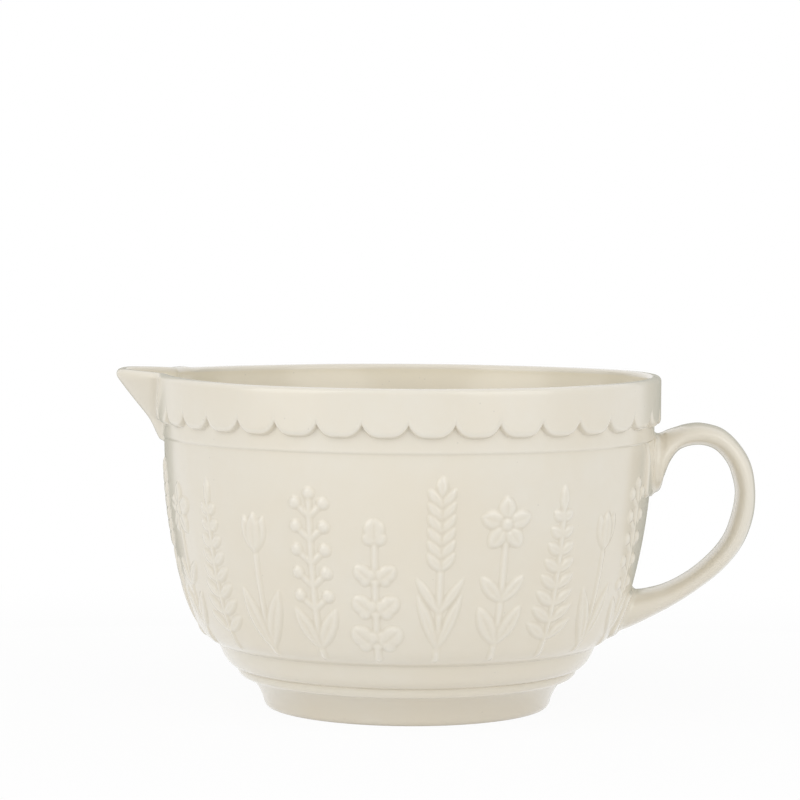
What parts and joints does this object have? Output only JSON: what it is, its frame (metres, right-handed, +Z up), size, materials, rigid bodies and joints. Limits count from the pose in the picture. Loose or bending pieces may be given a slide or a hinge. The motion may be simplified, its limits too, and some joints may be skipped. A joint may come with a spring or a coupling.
{
  "type": "batter bowl",
  "caption": "Deep footed mixing bowl in cream glazed stoneware with a scalloped rim band, pouring lip, loop handle and low relief of plants.",
  "frame": {"origin": "on the bowl's axis, in the plane of the foot's standing face", "axes": "+Z up along the bowl's axis, +X from the pouring lip to the handle, -Y the side seen in the picture"},
  "size_m": [0.2986, 0.235, 0.1568],
  "materials": {
    "cream_glaze": "glossy cream glaze over a pale clay body",
    "foot_glaze": "glossy cream glaze, wiped off the face that stands on the table",
    "relief_glaze": "glossy cream glaze, a little thinner on the raised relief"
  },
  "bodies": {
    "root": {"bowl_floor": "cream_glaze", "bowl_haunch": "cream_glaze", "bowl_wall": "cream_glaze", "foot_ring": "foot_glaze", "foot_bead": "cream_glaze", "base_moulding": "cream_glaze", "rim_fascia": "cream_glaze", "rim_band": "cream_glaze", "spout": "cream_glaze", "handle": "cream_glaze", "handle_upper_pad": "cream_glaze", "handle_lower_pad": "cream_glaze", "relief_wheat": "relief_glaze", "relief_blossoms": "relief_glaze", "relief_ferns": "relief_glaze", "relief_tulips": "relief_glaze", "relief_berries": "relief_glaze", "relief_hearts": "relief_glaze"}
  },
  "joints": []
}
